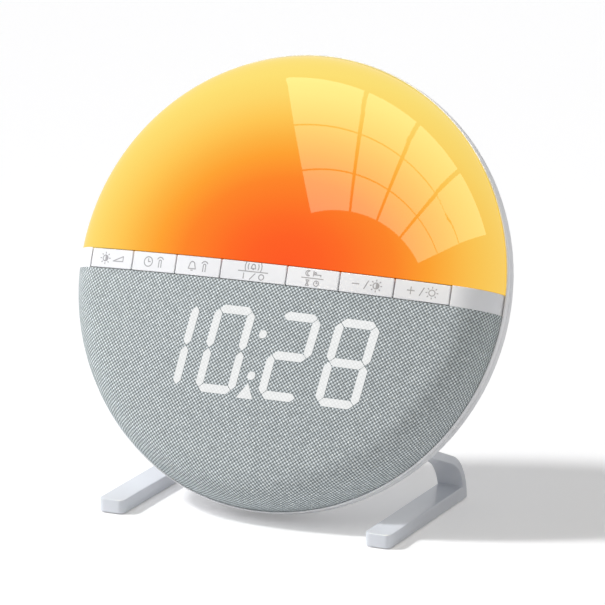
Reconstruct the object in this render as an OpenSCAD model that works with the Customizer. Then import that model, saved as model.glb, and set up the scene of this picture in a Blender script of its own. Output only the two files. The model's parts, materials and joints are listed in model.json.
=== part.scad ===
// Sunrise alarm clock: a leaning round body on two bent feet. The upper half of its domed
// face is a glowing lamp, the lower half is fabric over a four digit display, and a strip
// of seven keys lies between them.
//
// Origin: on the table, under the middle of the body. +Z is up, the face looks to -Y.
// Most pieces are drawn in the face frame: x to the right, y up the face, z out of it,
// with z = 0 where the dome meets its rim.

/* [Face] */
// Lean of the face from upright, in degrees
tilt = 21; // [12:1:28]
// Radius of the domed face at its rim
face_r = 85; // [80:0.5:95]
// Height of the dome over its rim
dome_h = 25.9; // [24:0.1:30]
// Radius of the rounded edge of the dome
edge_r = 17.7; // [15:0.1:19]
// Gap between the lowest point of the body and the table
floor_gap = 1.8; // [1:0.1:6]

/* [Body shell] */
// Width of the white rim round the dome
rim_w = 1; // [0.8:0.1:3]
// How far the rim stands in front of the start of the dome
lip_h = 0.6; // [0.2:0.1:1.5]
// Depth of the rim's side wall behind the start of the dome
seam_depth = 2.5; // [2.2:0.1:5]
// Depth of the rear housing behind the start of the dome
body_depth = 26; // [25:0.5:34]
// Radius of the housing's rounded corner
corner_r = 17; // [13:0.5:18]
// Degrees that the corner turns before the shallow cone of the back begins
shoulder_angle = 70; // [66:1:76]
// Radius that blends the cone into the flat back
blend_r = 25; // [15:1:30]
// Wall of the rear housing
wall = 2.2; // [1.6:0.1:2.6]
// Thickness of the frame's inner flange
flange_t = 1.5; // [1.2:0.1:2]
// Width of the frame's inner flange
flange_w = 13; // [12:0.5:16]

/* [Lamp and fabric] */
// Wall of the lamp diffuser
diffuser_t = 2; // [1.2:0.1:2.4]
// Thickness of the fabric
fabric_t = 0.8; // [0.5:0.1:1.2]
// Wall of the panel under the fabric
panel_t = 2; // [1.4:0.1:2.6]
// Gap between fitted edges
fit_gap = 0.15; // [0.1:0.05:0.3]

/* [Key strip] */
// Height of the key strip, up the face
strip_h = 7.6; // [6.8:0.1:9]
// Where the first key starts, left of the middle, as a share of the face's radius
first_key_x = 0.8824; // [0.82:0.002:0.9]
// Width of each of the three keys on the left, as a share of the face's radius
left_key_w = 0.2247; // [0.19:0.001:0.23]
// Width of the key in the middle, as a share of the face's radius
middle_key_w = 0.3141; // [0.26:0.001:0.33]
// Width of each of the three keys on the right, as a share of the face's radius
right_key_w = 0.242; // [0.2:0.001:0.247]
// Gap between two keys
key_gap = 0.5; // [0.4:0.05:0.8]
// How far a key travels into the face
key_travel = 0.7; // [0.4:0.05:1]
// Depth of a key's skirt
key_skirt = 4.5; // [3.5:0.1:5.5]
// Radius of a key's stem
stem_r = 1.7; // [1.2:0.1:2.2]

/* [Display] */
// Height of the digits
digit_h = 33; // [28:0.5:35]
// Distance between a digit's left and right strokes
digit_w = 13.55; // [12:0.05:14]
// Thickness of a stroke
stroke = 3.2; // [2.4:0.1:3.6]
// Lean of the digits to the right, as x over y
slant = 0.19; // [0:0.01:0.22]
// Distance from one digit to the next
digit_pitch = 22.5; // [21.5:0.1:23]
// Extra room for the colon between the second and third digits
colon_room = 3.35; // [2.5:0.05:4]
// How far the middle of the digits lies below the middle of the face
digits_drop = 29.2; // [28:0.1:31]
// How far the middle of the digits lies to the right of the middle of the face
digits_x = 1; // [0:0.1:2]

/* [Feet] */
// Distance between the middles of the two feet
feet_span = 107.8; // [100:0.2:112]
// Width of a foot
foot_w = 10.6; // [9:0.1:12]
// Thickness of the foot's lower bar
bar_h = 5.2; // [4:0.1:7]
// Thickness of the foot's upper arm
arm_t = 3.2; // [3:0.1:4.5]
// Distance from the middle of the face forward to the foot's tip
toe_reach = 43.5; // [42.5:0.5:50]
// Distance from the middle of the face back to the heel
heel_reach = 29.8; // [28:0.1:31]
// Radius of the heel's bend
heel_r = 21; // [19:0.5:22]
// Radius of the corners at the toe
toe_corner_r = 2.6; // [1:0.1:4]
// Radius of a foot pad
pad_r = 3.6; // [2.5:0.1:4]
// How far a foot pad stands out of the foot
pad_proud = 0.4; // [0.2:0.1:0.8]
// Depth that a foot pad is let into the foot
pad_seat = 1.2; // [0.8:0.1:2]

/* [Back] */
// Length of the battery door, across the back
door_l = 56; // [54:0.5:60]
// Height of the battery door, up the back
door_h = 27; // [26:0.5:30]
// Thickness of the battery door
door_t = 1.8; // [1.4:0.1:2.2]
// Distance of the door's middle above the middle of the back
door_y = 24; // [22:0.5:26]
// Radius of the battery door's hinge barrels
barrel_r = 0.9; // [0.7:0.05:1]
// Diameter of a backup cell
cell_d = 10.5; // [10.1:0.1:10.7]
// Length of a backup cell
cell_l = 44.5; // [43:0.5:46]
// Radius of the speaker's frame
speaker_r = 18; // [16:0.5:19]
// Distance of the speaker below the middle of the back
speaker_drop = 20; // [18:0.5:23]
// Radius of a sound hole
sound_hole_r = 0.9; // [0.6:0.05:1.1]
// Distance between two rings of sound holes
sound_hole_pitch = 3.6; // [3:0.1:4]
// Rings of sound holes round the middle one
sound_rings = 4; // [2:1:4]
// Distance of the power socket right of the middle
socket_x = 31; // [29:0.5:34]
// Distance of the power socket below the middle of the back
socket_drop = 22; // [18:0.5:26]
// Radius of the power socket's opening
socket_r = 3.2; // [2.8:0.1:3.5]

/* [Inside] */
// Thickness of a circuit board
board_t = 1.6; // [1:0.1:2]
// Depth of the crossbar's floor below the strip's surface
bar_depth = 7.5; // [7:0.1:8.5]
// Thickness of the crossbar's floor
bar_t = 1.8; // [1.4:0.1:2.4]
// Radius of the screws that hold the housing to the frame
screw_r = 1.25; // [1:0.05:1.5]
// Distance of the housing screws inside the edge of the face
screw_inset = 9; // [7:0.5:10]
// Radius of small screws
small_screw_r = 0.95; // [0.8:0.05:1.1]

/* [Hidden] */

$fn = 96;
smooth = 200;       // facets of the large revolved surfaces, where they are seen as a mesh
eps = 0.01;         // overrun of a cut through a face
big = 200;          // larger than the clock

// Dome: a rounded edge that runs into a large crown, tangent to each other
edge_c = face_r - edge_r;
crown_rise = dome_h - edge_r;
crown_r = edge_r + (edge_c^2 + crown_rise^2) / (2 * crown_rise);
crown_z = dome_h - crown_r;
crown_edge_angle = asin(edge_c / (crown_r - edge_r));
crown_edge_r = crown_r * sin(crown_edge_angle);

// Height of the dome, set in by inset, at a distance r from its middle
function dome_z(r, inset = 0) = r < crown_edge_r
    ? crown_z + sqrt((crown_r - inset)^2 - r^2)
    : sqrt(max(0, (edge_r - inset)^2 - (r - edge_c)^2));

// Rim and housing
rim_gap = 0.1;                                  // between the dome's skirt and the rim
rim_r = face_r + rim_w;
skirt_z = flange_t - seam_depth;                // the dome's skirts stand here on the flange
corner_c = rim_r - corner_r;
flange_in_r = face_r - flange_w;
inner_back_z = wall - body_depth;
spigot_h = 2.5;                                 // ring that centres the frame in the housing
spigot_t = 1.2;

// Radius at which the housing's cone meets a back that is set in by inset
function back_r(inset) = corner_c
    + (corner_r - inset - (body_depth - inset - seam_depth) * sin(shoulder_angle))
    / cos(shoulder_angle);

// Where the face frame stands on the table
face_z = floor_gap + corner_r + corner_c * cos(tilt) + seam_depth * sin(tilt);
back_reach = corner_r + corner_c * sin(tilt) + seam_depth * cos(tilt);
face_y = (toe_reach - back_reach) / 2;

// Key strip
strip_y = strip_h / 2;
flange_wall = 1.5;                              // straight edges of the diffuser and the panel
flange_depth = 6;
bar_y = strip_y + fit_gap + flange_wall + 0.15; // half the height of the crossbar
key_count = 7;
key_ends = [for (i = [0 : key_count]) face_r * (left_key_w * min(i, 3) - first_key_x
    + middle_key_w * min(max(i - 3, 0), 1)
    + right_key_w * max(i - 4, 0))];
function key_x(i) = (key_ends[i] + key_ends[i + 1]) / 2;
key_side_gap = 0.25;
key_wall = 1.2;
key_top = 1.6;
switch_h = 3.5;
switch_w = 6;
key_board_top = 2.4;
switch_top = key_board_top + switch_h;
plunger_r = 1.5;
plunger_out = key_travel + 0.6;
plunger_in = 1.2;
plunger_top = switch_top + plunger_out;
collar_r = stem_r + 0.7;
collar_t = 0.8;

// Display
digit_x = [for (i = [0 : 3]) digits_x + (i - 1.5) * digit_pitch
    + (i < 2 ? -colon_room / 2 : colon_room / 2)];
colon_x = digits_x;
window_x = digit_pitch * 2 + colon_room / 2 + slant * digit_h / 2 + stroke;
window_y = digit_h / 2 + 4.2;
block_x = window_x - 3.5;
block_y = window_y - 1;
display_board_top = 8;
display_boss_x = window_x + 4;
display_boss_y = block_y - 4;
segment_gap = 0.5;                              // between the ends of two strokes

// Feet, in the world frame with y from the middle of the face
foot_x = feet_span / 2;
heel_y = heel_reach - heel_r;                   // centre of the heel's bend
arm_top = heel_y * sin(tilt) + (pad_proud - face_z) * cos(tilt) + heel_r;
arm_y = arm_top - arm_t / 2;
tongue_z = -7.5;                                // front end of the foot's tongue
socket_front = 1.5;                             // closed end of the foot's socket
socket_wall = 2;
pad_gap = 0.05;
foot_screw_l = 7;

// Housing screws: angle round the face
screw_angles = [28, 152, 246, 294];
screw_ring_r = face_r - screw_inset;
boss_r = screw_r + 2.2;
boss_end_z = -9;                                // the frame's boss meets the housing's here
screw_shelf = 2.5;
screw_head_r = screw_r * 2.1;
screw_head_h = 1.8;
small_head_r = small_screw_r * 2.1;
small_head_h = 1.4;

// Lamp
reflector_inset = diffuser_t + 0.5;
reflector_t = 1.2;
reflector_y = bar_y + 0.4;
reflector_rim_z = 9;
reflector_floor = skirt_z + 1.4;
lamp_board_t = 1;
lamp_board_r = flange_in_r + 2;
lamp_board_y = 13;
led_w = 5;
led_h = 1.6;
led_rings = [[0.405, 5], [0.676, 9], [0.919, 13]];  // share of the board's radius, and count
stake_places = lamp_board_r * [[-0.743, 0.297], [0, 0.838], [0.743, 0.297]];
lamp_screw_angles = [35, 90, 145];

// Main board and back
main_board_x = 42;
main_board_y = [-58, -8];
main_boss = [37, 4];                            // inset from the board's middle and ends
bay_gap = 0.3;
bay_wall = 1.5;
bay_x = cell_l / 2 + 2.8;
bay_y = cell_d + 0.6;
cell_z = door_t - body_depth + bay_gap + cell_d / 2;
bay_top = cell_z + cell_d / 2 + bay_gap;
door_gap = 0.25;
lip_t = 0.9;                                    // housing between a hinge barrel and the outside
barrel_gap = 0.3;
hinge_depth = barrel_r + barrel_gap + lip_t;    // of the hinge line, below the back's surface
door_swing_r = hinge_depth + 0.2;               // the door's lower edge is round the hinge line
door_edge = sqrt(door_swing_r^2 - hinge_depth^2);
hinge_y = door_y - door_h / 2 - door_edge;
hinge_z = hinge_depth - body_depth;
tab_x = 17;
tab_w = 6;
tab_l = 4;
tab_t = 1;
basket_flange_t = 1.2;
speaker_depth = 9;
speaker_boss_r = small_screw_r + 1;
washer_r = speaker_boss_r + 1.1;                // washer heads that reach over the basket's edge
magnet_r = speaker_r * 0.55;
magnet_t = 5.5;
main_board_z = inner_back_z + speaker_depth + magnet_t + 1.9;
socket_body = [10, 12, 11];

// ---- Placing and shared shapes ----

module face_frame() translate([0, face_y, face_z]) rotate([90 - tilt, 0, 0]) children();

// Half section of the dome, set in by inset, down to the height base
module dome_section(inset, base) {
    intersection() {
        union() {
            intersection() {
                translate([0, crown_z]) circle(r = crown_r - inset, $fn = 2 * smooth);
                polygon([[0, crown_z], [0, big],
                    [(big - crown_z) * tan(crown_edge_angle), big]]);
            }
            translate([edge_c, 0]) circle(r = edge_r - inset);
            translate([0, base - eps]) square([face_r - inset, eps - base]);
        }
        translate([0, base]) square([face_r, dome_h - base]);
    }
}

module dome(inset = 0, base = skirt_z)
    rotate_extrude($fn = smooth) dome_section(inset, base);

// Points along an arc round a centre, from one angle to another
function arc(centre, r, from, to, steps) = [for (i = [0 : steps])
    let (a = from + (to - from) * i / steps) centre + r * [cos(a), sin(a)]];

// Half section of the rear housing, set in by inset, up to the height top
module pan_section(inset, top) polygon(concat(
    [[0, top], [rim_r - inset, top]],
    arc([corner_c, -seam_depth], corner_r - inset, top > -seam_depth ? 0 : -5,
        -shoulder_angle, 14),
    arc([back_r(blend_r), blend_r - body_depth], blend_r - inset, -shoulder_angle, -90, 5),
    [[0, inset - body_depth]]
));

module pan(inset = 0, top = -seam_depth) rotate_extrude($fn = smooth) pan_section(inset, top);

// Box between two corners
module span(low, high) translate(low) cube(high - low);

module above_strip(edge) span([-big, edge, -big], [big, big, big]);
module below_strip(edge) span([-big, -big, -big], [big, -edge, big]);

// Rectangle of half sizes x and y with round corners
module round_rect(x, y, r) {
    square([2 * x, 2 * (y - r)], center = true);
    square([2 * (x - r), 2 * y], center = true);
    for (sx = [-1, 1], sy = [-1, 1])
        translate([sx * (x - r), sy * (y - r)]) circle(r = r, $fn = 32);
}

// Upright pin between two heights
module pin(x, y, low, high, r) translate([x, y, low]) cylinder(h = high - low, r = r, $fn = 32);

// Screw that points along +z from a seat at z, with its head below the seat
module screw(x, y, z, length, r, head_r, head_h) {
    pin(x, y, z - eps, z + length, r);
    difference() {
        pin(x, y, z - head_h, z, head_r);
        translate([x, y, z - head_h]) {
            cube([head_r * 1.2, 0.5, head_h], center = true);
            cube([0.5, head_r * 1.2, head_h], center = true);
        }
    }
}

module on_screw_ring()
    for (a = screw_angles) rotate(a) translate([screw_ring_r, 0, 0]) children();

// ---- Shells ----

module foot_socket(side)
    span([side * foot_x - foot_w / 2 - socket_wall, arm_y - arm_t / 2 - socket_wall, -big],
        [side * foot_x + foot_w / 2 + socket_wall, arm_y + arm_t / 2 + socket_wall,
            tongue_z + socket_front]);

module battery_bay() {
    span([-bay_x - bay_wall, door_y - bay_y - bay_wall, -big],
        [bay_x + bay_wall, door_y + bay_y + bay_wall, bay_top + bay_wall]);
    // Ledge that the door rests on, with room for its hinge
    span([-door_l / 2 - bay_wall, hinge_y - 2 * bay_wall, -big],
        [door_l / 2 + bay_wall, door_y + door_h / 2 + bay_wall, hinge_z + barrel_r + bay_wall]);
}

module battery_bay_cut() {
    span([-bay_x, door_y - bay_y, -big], [bay_x, door_y + bay_y, bay_top]);
    span([-door_l / 2 - door_gap, hinge_y + door_edge - door_gap, -big],
        [door_l / 2 + door_gap, door_y + door_h / 2 + door_gap, door_t - body_depth]);
    for (side = [-1, 1])
        translate([side * tab_x, hinge_y, hinge_z])
            span([-tab_w / 2 - barrel_gap, -barrel_r - barrel_gap, -barrel_r - barrel_gap],
                [tab_w / 2 + barrel_gap, tab_l + barrel_gap, barrel_r + barrel_gap]);
}

module sound_holes() {
    for (ring = [0 : sound_rings], k = [0 : max(0, 6 * ring - 1)])
        rotate(60 * k / max(1, ring)) translate([ring * sound_hole_pitch, 0, 0])
            cylinder(h = 4 * wall, r = sound_hole_r, center = true, $fn = 24);
}

// What stands on the inside of the housing, drawn into its wall
module housing_fittings() intersection() {
    pan(wall / 2);
    union() {
        battery_bay();
        for (side = [-1, 1]) foot_socket(side);
        on_screw_ring() pin(0, 0, -body_depth, boss_end_z, boss_r);
        for (x = [-1, 1] * main_boss[0], y = main_board_y + [1, -1] * main_boss[1])
            pin(x, y, -body_depth, main_board_z, small_screw_r + 1.8);
        speaker_places() pin(0, 0, -body_depth, inner_back_z + basket_flange_t,
            speaker_boss_r);
        socket_rib();
    }
}

module rear_housing() color("whitesmoke") face_frame() difference() {
    union() {
        difference() {
            pan();
            pan(wall, 0);
        }
        housing_fittings();
    }
    battery_bay_cut();
    for (side = [-1, 1]) {
        span([side * foot_x - foot_w / 2 - pad_gap, arm_y - arm_t / 2 - pad_gap, -big],
            [side * foot_x + foot_w / 2 + pad_gap, arm_y + arm_t / 2 + pad_gap, tongue_z]);
        pin(side * foot_x, arm_y, tongue_z - eps, tongue_z + socket_front + eps,
            small_screw_r + 0.15);
    }
    on_screw_ring() {
        pin(0, 0, -big, boss_end_z - screw_shelf, screw_head_r + 0.3);
        pin(0, 0, -big, boss_end_z + eps, screw_r + 0.15);
    }
    for (x = [-1, 1] * main_boss[0], y = main_board_y + [1, -1] * main_boss[1])
        pin(x, y, main_board_z - foot_screw_l, main_board_z + eps, small_screw_r + 0.05);
    speaker_places() pin(0, 0, inner_back_z - wall / 2, inner_back_z + 2 * basket_flange_t,
        small_screw_r + 0.05);
    translate([0, -speaker_drop, -body_depth]) sound_holes();
    pin(socket_x, -socket_drop, -big, inner_back_z + eps, socket_r + 1.2);
}

module speaker_places()
    translate([0, -speaker_drop, 0]) for (a = [90, 210, 330])
        rotate(a) translate([speaker_r + speaker_boss_r + fit_gap, 0, 0]) children();

module socket_rib() translate([socket_x, -socket_drop, 0]) difference() {
    span([-socket_body[0] / 2 - bay_wall, -socket_body[1] / 2 - bay_wall, -big],
        [socket_body[0] / 2 + bay_wall, socket_body[1] / 2 + bay_wall, inner_back_z + 4]);
    span([-socket_body[0] / 2 - pad_gap, -socket_body[1] / 2 - pad_gap, inner_back_z],
        [socket_body[0] / 2 + pad_gap, socket_body[1] / 2 + pad_gap, big]);
}

// Fixed end of the key strip, hollow under its surface
module strip_end(side, x) difference() {
    intersection() {
        dome();
        span([side > 0 ? x : -big, -strip_y, -big], [side > 0 ? big : x, strip_y, big]);
    }
    dome(bar_depth + eps, -big);
    intersection() {
        dome(key_top);
        span([side > 0 ? x + key_wall : -big, key_wall - strip_y, 0],
            [side > 0 ? big : x - key_wall, strip_y - key_wall, big]);
    }
}

module front_frame() color("white") face_frame() difference() {
    union() {
        rotate_extrude($fn = smooth) {
            lip_w = rim_w - rim_gap;
            translate([rim_r - lip_w, -seam_depth]) square([lip_w, seam_depth + lip_h - lip_w / 2]);
            translate([rim_r - lip_w / 2, lip_h - lip_w / 2]) circle(r = lip_w / 2, $fn = 32);
            translate([flange_in_r, -seam_depth]) square([flange_w + 2 * rim_gap, flange_t]);
            translate([rim_r - wall - 2 * rim_gap - spigot_t - 0.2, -seam_depth - spigot_h])
                square([spigot_t, spigot_h + eps]);
        }
        intersection() {
            difference() {
                dome(bar_depth, -seam_depth);
                dome(bar_depth + bar_t, -seam_depth - 1);
            }
            span([-big, -bar_y, -big], [big, bar_y, big]);
        }
        strip_end(-1, key_ends[0] - key_gap / 2);
        strip_end(1, key_ends[key_count] + key_gap / 2);
        // The strip's ends run out into the rim
        intersection() {
            difference() {
                cylinder(h = 2 * seam_depth, r = rim_r - rim_gap, center = true, $fn = smooth);
                cylinder(h = 3 * seam_depth, r = face_r - 2 * rim_gap, center = true,
                    $fn = smooth);
            }
            span([-big, -strip_y, -seam_depth], [big, strip_y, 0]);
        }
        for (i = [1, 3, 4, 6]) intersection() {
            pin(key_ends[i], 0, key_board_top, dome_h, small_screw_r + 1.6);
            dome(bar_depth + bar_t / 2);
        }
        on_screw_ring() pin(0, 0, boss_end_z, eps - seam_depth, boss_r);
    }
    for (i = [0 : key_count - 1]) pin(key_x(i), 0, 0, dome_h, stem_r + 0.3);
    for (i = [1, 3, 4, 6])
        pin(key_ends[i], 0, key_board_top - eps, key_board_top + 5, small_screw_r + 0.05);
    on_screw_ring() pin(0, 0, boss_end_z - eps, skirt_z - 0.3, screw_r + 0.05);
    lamp_screw_places() pin(0, 0, -seam_depth - eps, skirt_z + eps, small_screw_r + 0.05);
}

module lamp_screw_places()
    for (a = lamp_screw_angles) rotate(a) translate([face_r - flange_w / 2 - 0.5, 0, 0]) children();

// Shell of half the dome with a straight wall along the key strip
module half_shell(inset, t) difference() {
    intersection() {
        dome(inset);
        above_strip(strip_y + fit_gap);
    }
    intersection() {
        dome(inset + t, -big);
        above_strip(strip_y + fit_gap + flange_wall);
    }
    intersection() {
        dome(flange_depth, -big);
        span([-big, -big, -big], [big, bar_y + fit_gap, big]);
    }
}

module lamp_diffuser() color("orange") face_frame() half_shell(0, diffuser_t);

module lower_half() mirror([0, 1, 0]) children();

module window(grow, low = 0, high = big) translate([digits_x, -digits_drop, low])
    linear_extrude(high - low) round_rect(window_x + grow, window_y + grow, 3);

module grille_panel() color("dimgray") face_frame() difference() {
    union() {
        difference() {
            lower_half() half_shell(fabric_t, panel_t);
            window(0);
        }
        intersection() {
            dome(fabric_t + panel_t / 2);
            display_bosses() pin(0, 0, display_board_top, dome_h, small_screw_r + 1.6);
        }
    }
    display_bosses() pin(0, 0, display_board_top - eps, display_board_top + 3,
        small_screw_r + 0.05);
}

module display_bosses() for (sx = [-1, 1], sy = [-1, 1])
    translate([digits_x + sx * display_boss_x, sy * display_boss_y - digits_drop, 0]) children();

module fabric_cover() color("darkgray") face_frame() difference() {
    intersection() {
        dome();
        below_strip(strip_y + fit_gap);
    }
    dome(fabric_t, -big);
}

module display_lens() color("gainsboro") face_frame() difference() {
    intersection() {
        dome(fabric_t);
        window(-fit_gap);
    }
    dome(fabric_t + panel_t, -big);
}

// ---- Display ----

// Outline of a stroke from p to q with pointed ends, leaning with the digits
function lean(p) = [p[0] + slant * p[1], p[1]];
function stroke_outline(p, q, gap, width) = let (
    d = (q - p) / norm(q - p), n = [-d[1], d[0]], h = width / 2,
    a = p + gap * d, b = q - gap * d
) [for (c = [a, a + h * (d + n), b + h * (n - d), b, b - h * (d + n), a + h * (d - n)]) lean(c)];

stroke_x = digit_w / 2;
stroke_y = (digit_h - stroke) / 2;
STROKES = [
    [[-stroke_x, stroke_y], [stroke_x, stroke_y]],
    [[-stroke_x, 0], [stroke_x, 0]],
    [[-stroke_x, -stroke_y], [stroke_x, -stroke_y]],
    [[-stroke_x, 0], [-stroke_x, stroke_y]],
    [[stroke_x, 0], [stroke_x, stroke_y]],
    [[-stroke_x, -stroke_y], [-stroke_x, 0]],
    [[stroke_x, -stroke_y], [stroke_x, 0]]
];
colon_dots = [lean([0, digit_h * 0.215]), lean([0, -digit_h * 0.26])];
dot_r = stroke / 2;
// Marker that lights when an alarm is set
marker = [for (p = [[-3.8, -17], [2.8, -17], [-0.5, -11.2]]) lean(p)];

module display_outlines(grow = 0) translate([0, -digits_drop]) {
    for (x = digit_x, s = STROKES)
        translate([x, 0]) polygon(stroke_outline(s[0], s[1], segment_gap - grow, stroke + grow));
    translate([colon_x, 0]) {
        for (dot = colon_dots) translate(dot) circle(r = dot_r + grow / 2, $fn = 32);
        polygon(marker);
    }
}

module display_block() color("black") face_frame() difference() {
    intersection() {
        dome(fabric_t + panel_t);
        translate([digits_x, -digits_drop, display_board_top])
            linear_extrude(dome_h) round_rect(block_x, block_y, 1);
    }
    translate([0, 0, -1]) linear_extrude(2 * dome_h) display_outlines(0.1);
}

module display_segments() color("white") face_frame() intersection() {
    dome(fabric_t + panel_t);
    translate([0, 0, display_board_top + led_h]) linear_extrude(dome_h) display_outlines();
}

module display_board() color("darkgreen") face_frame() difference() {
    translate([digits_x, -digits_drop, display_board_top - board_t]) linear_extrude(board_t)
        round_rect(display_boss_x + 2.6, block_y + 0.5, 2);
    display_bosses() pin(0, 0, 0, dome_h, small_screw_r + 0.15);
}

module display_leds() color("lemonchiffon") face_frame()
    translate([0, -digits_drop, display_board_top]) {
        for (x = digit_x, s = STROKES)
            translate([x, 0] + lean((s[0] + s[1]) / 2)) translate([-1, -0.6, 0])
                cube([2, 1.2, 0.8]);
        for (dot = colon_dots)
            translate([colon_x, 0] + dot) translate([-0.8, -0.5, 0]) cube([1.6, 1, 0.8]);
    }

module display_screws() color("silver") face_frame()
    display_bosses() screw(0, 0, display_board_top - board_t, board_t + 2.6, small_screw_r,
        small_head_r, small_head_h);

// ---- Lamp ----

module lamp_reflector() color("white") face_frame() {
    difference() {
        intersection() {
            dome(reflector_inset);
            span([-big, reflector_y, skirt_z], [big, big, reflector_rim_z]);
        }
        intersection() {
            dome(reflector_inset + reflector_t);
            span([-big, reflector_y + reflector_t, reflector_floor], [big, big, big]);
        }
        lamp_screw_places() pin(0, 0, -big, big, small_screw_r + 0.15);
    }
    for (place = stake_places) {
        pin(place[0], place[1], reflector_floor - eps, reflector_floor + lamp_board_t + eps, 1.5);
        pin(place[0], place[1], reflector_floor + lamp_board_t,
            reflector_floor + lamp_board_t + 0.8, 2.3);
    }
}

module lamp_board() color("ghostwhite") face_frame() difference() {
    translate([0, 0, reflector_floor]) intersection() {
        cylinder(h = lamp_board_t, r = lamp_board_r);
        span([-big, lamp_board_y, 0], [big, big, lamp_board_t]);
    }
    for (place = stake_places) pin(place[0], place[1], 0, big, 1.6);
}

module lamp_leds() color("orange") face_frame() for (ring = led_rings) {
    ring_r = ring[0] * lamp_board_r;
    first = asin((lamp_board_y + led_w) / ring_r);
    for (k = [0 : ring[1] - 1])
        rotate(first + k * (180 - 2 * first) / (ring[1] - 1))
            translate([ring_r - led_w / 2, -led_w / 2, reflector_floor + lamp_board_t])
                cube([led_w, led_w, led_h]);
}

module lamp_screws() color("silver") face_frame() lamp_screw_places() mirror([0, 0, 1])
    screw(0, 0, -reflector_floor, seam_depth + reflector_floor, small_screw_r, small_head_r,
        small_head_h);

// ---- Keys ----

module key(i) {
    low = [key_ends[i] + key_gap / 2, key_side_gap - strip_y, 0];
    high = [key_ends[i + 1] - key_gap / 2, strip_y - key_side_gap, big];
    inner = [key_wall, key_wall, 0];
    x = key_x(i);
    collar_z = dome_z(abs(x) + collar_r, bar_depth + bar_t) - fit_gap;
    difference() {
        intersection() {
            dome();
            span(low, high);
        }
        dome(key_skirt, -1);
        intersection() {
            dome(key_top);
            span(low + inner, high - inner);
        }
    }
    intersection() {
        pin(x, 0, plunger_top, dome_h, stem_r);
        dome(key_top / 2);
    }
    pin(x, 0, collar_z - collar_t, collar_z, collar_r);
}

module key_dimmer() color("white") face_frame() key(0);
module key_time() color("white") face_frame() key(1);
module key_alarm() color("white") face_frame() key(2);
module key_alarm_switch() color("white") face_frame() key(3);
module key_sleep_timer() color("white") face_frame() key(4);
module key_minus() color("white") face_frame() key(5);
module key_plus() color("white") face_frame() key(6);

module plunger(i) color("black") face_frame()
    pin(key_x(i), 0, switch_top - plunger_in, plunger_top, plunger_r);

module plunger_dimmer() plunger(0);
module plunger_time() plunger(1);
module plunger_alarm() plunger(2);
module plunger_alarm_switch() plunger(3);
module plunger_sleep_timer() plunger(4);
module plunger_minus() plunger(5);
module plunger_plus() plunger(6);

module key_board() color("darkgreen") face_frame() difference() {
    span([key_ends[0] + 3, -bar_y + 0.2, key_board_top - board_t],
        [key_ends[key_count] - 3, bar_y - 0.2, key_board_top]);
    for (i = [1, 3, 4, 6]) pin(key_ends[i], 0, -big, big, small_screw_r + 0.15);
}

module key_switches() color("dimgray") face_frame() for (i = [0 : key_count - 1]) difference() {
    span([key_x(i) - switch_w / 2, -switch_w / 2, key_board_top],
        [key_x(i) + switch_w / 2, switch_w / 2, switch_top]);
    pin(key_x(i), 0, switch_top - plunger_in - key_travel - 0.3, switch_top + eps,
        plunger_r + 0.15);
}

module key_board_screws() color("silver") face_frame() for (i = [1, 3, 4, 6])
    screw(key_ends[i], 0, key_board_top - board_t, board_t + 4.5, small_screw_r, small_head_r,
        small_head_h);

// ---- Back ----

module main_board() color("darkgreen") face_frame() difference() {
    span([-main_board_x, main_board_y[0], main_board_z],
        [main_board_x, main_board_y[1], main_board_z + board_t]);
    for (x = [-1, 1] * main_boss[0], y = main_board_y + [1, -1] * main_boss[1])
        pin(x, y, -big, big, small_screw_r + 0.15);
}

// Parts on the main board: place, size
CHIPS = [
    [[-22, -34], [10, 10, 1.6]],    // processor
    [[20, -42], [6, 8, 1.5]],       // sound amplifier
    [[-6, -20], [5, 4, 1.3]],       // clock chip
    [[24, -20], [12, 6, 5]],        // lamp connector
    [[-26, -16], [14, 5, 5]],       // key connector
    [[0, -52], [20, 5, 5]],         // display connector
    [[-24, -50], [3, 8, 3]]         // crystal
];

capacitor_places = [[6, -32], [14, -32]];
capacitor_h = 7;
capacitor_r = 3.2;

module board_chips() color("black") face_frame() translate([0, 0, main_board_z + board_t]) {
    for (chip = CHIPS)
        translate([chip[0][0] - chip[1][0] / 2, chip[0][1] - chip[1][1] / 2, 0]) cube(chip[1]);
    for (place = capacitor_places)
        translate(place) cylinder(h = capacitor_h, r = capacitor_r, $fn = 32);
}

module main_board_screws() color("silver") face_frame()
    for (x = [-1, 1] * main_boss[0], y = main_board_y + [1, -1] * main_boss[1])
        translate([x, y, 0]) mirror([0, 0, 1])
            screw(0, 0, -main_board_z - board_t, board_t + 5, small_screw_r, small_head_r,
                small_head_h);

module on_speaker() face_frame() translate([0, -speaker_drop, inner_back_z]) children();

module speaker_basket() color("darkslategray") on_speaker() rotate_extrude() {
    translate([speaker_r - 3.4, 0]) square([3.4, basket_flange_t]);
    polygon([[speaker_r - 2, basket_flange_t - eps], [speaker_r - 1.1, basket_flange_t - eps],
        [magnet_r + 1.2, speaker_depth], [5, speaker_depth], [5, speaker_depth - 1],
        [magnet_r, speaker_depth - 1]]);
}

module speaker_magnet() color("gray") on_speaker() {
    translate([0, 0, speaker_depth]) cylinder(h = magnet_t, r = magnet_r);
    translate([0, 0, speaker_depth - 3]) cylinder(h = 3 + eps, r = 3.5);
}

// Domed roll between the cone and the basket
module speaker_surround() color("black") on_speaker() rotate_extrude()
    translate([speaker_r - 4.6, 0.4]) intersection() {
        difference() {
            circle(r = 1.2, $fn = 32);
            circle(r = 0.8, $fn = 32);
        }
        translate([-2, 0]) square([4, 2]);
    }

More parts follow.
